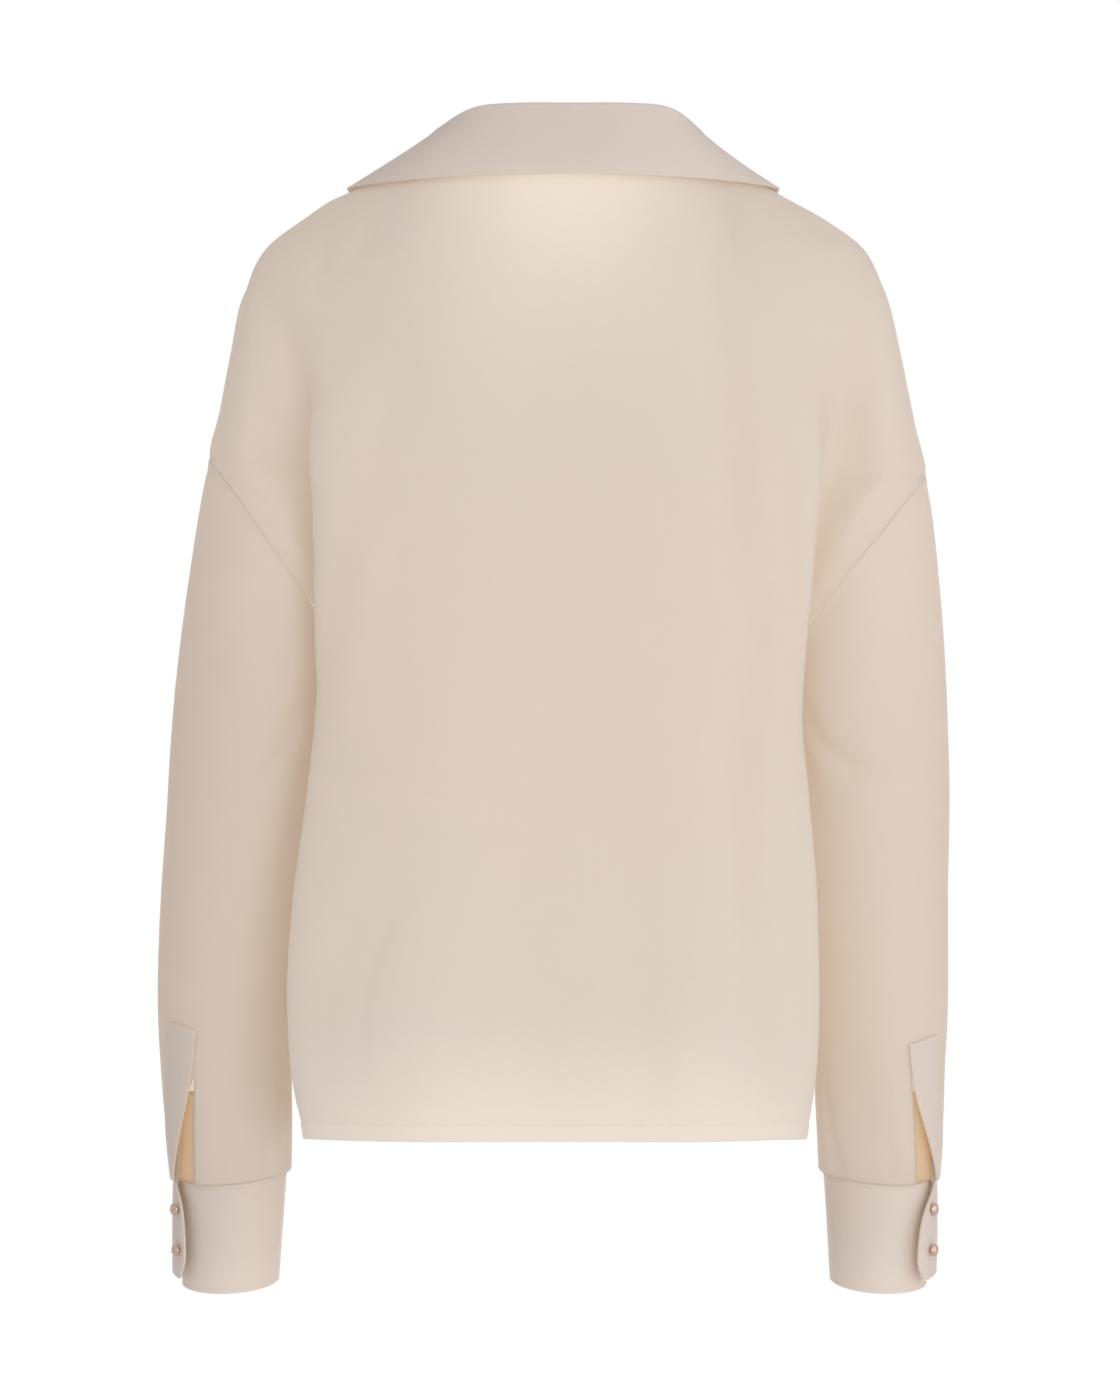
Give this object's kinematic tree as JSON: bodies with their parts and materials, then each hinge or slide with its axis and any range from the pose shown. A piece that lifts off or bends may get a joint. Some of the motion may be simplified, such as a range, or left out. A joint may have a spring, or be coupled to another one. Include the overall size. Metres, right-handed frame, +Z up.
{
  "type": "silk blouse",
  "caption": "Loose long-sleeved silk blouse in its worn shape, with a wide folded collar, a V neck, dropped shoulders and buttoned cuffs.",
  "frame": {"origin": "midway between the two neck points of the shoulders, where the blouse rests on its wearer", "axes": "+Z up, -Y to the wearer's front, +X to the wearer's left"},
  "size_m": [0.5052, 0.2348, 0.7569],
  "materials": {
    "silk": "ivory silk crepe with a soft sheen, slightly see-through",
    "button_metal": "polished rose gold"
  },
  "bodies": {
    "root": {"back": "silk", "front": "silk", "collar": "silk", "sleeve_left": "silk", "placket_left": "silk", "underlap_left": "silk", "cuff_left": "silk", "sleeve_right": "silk", "placket_right": "silk", "underlap_right": "silk", "cuff_right": "silk", "button_left_upper": "button_metal", "button_left_lower": "button_metal", "button_right_upper": "button_metal", "button_right_lower": "button_metal"}
  },
  "joints": []
}
